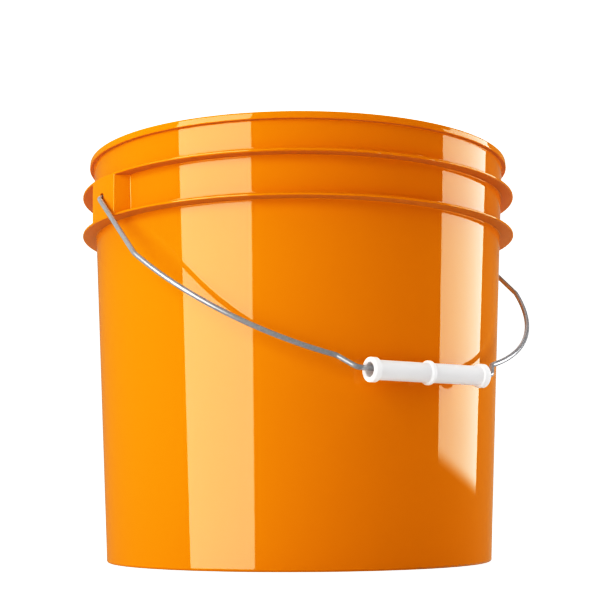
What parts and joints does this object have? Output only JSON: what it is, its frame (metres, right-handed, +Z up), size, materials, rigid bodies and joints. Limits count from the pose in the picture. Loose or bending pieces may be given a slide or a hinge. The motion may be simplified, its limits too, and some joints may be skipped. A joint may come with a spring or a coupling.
{
  "type": "tool bucket",
  "caption": "Open-head plastic pail with a rim lip, a ribbed collar, moulded ears and a swinging wire bail that carries a loose hand grip.",
  "frame": {"origin": "centre of the pail's base, on the surface that it stands on", "axes": "+Z up along the pail's axis; X through both ears and along the hand grip; the bail hangs down on the -Y side"},
  "size_m": [0.3132, 0.3066, 0.2758],
  "materials": {
    "pail_plastic": "glossy moulded polyethylene, orange",
    "bail_steel": "bright zinc-plated drawn wire",
    "grip_plastic": "satin moulded polyethylene, white"
  },
  "bodies": {
    "pail": {"pail_body": "pail_plastic"},
    "bail": {"bail_wire": "bail_steel"},
    "grip": {"grip_sleeve": "grip_plastic"}
  },
  "joints": [
    {"name": "bail_swing", "type": "hinge", "parent": "pail", "child": "bail", "pos_m": [0, 0, 0.2377], "axis": [-1, 0, 0], "range_deg": [0, 258.5]},
    {"name": "grip_spin", "type": "hinge", "parent": "bail", "child": "grip", "pos_m": [0, -0.14642, 0.11803], "axis": [1, 0, 0], "continuous": true}
  ]
}
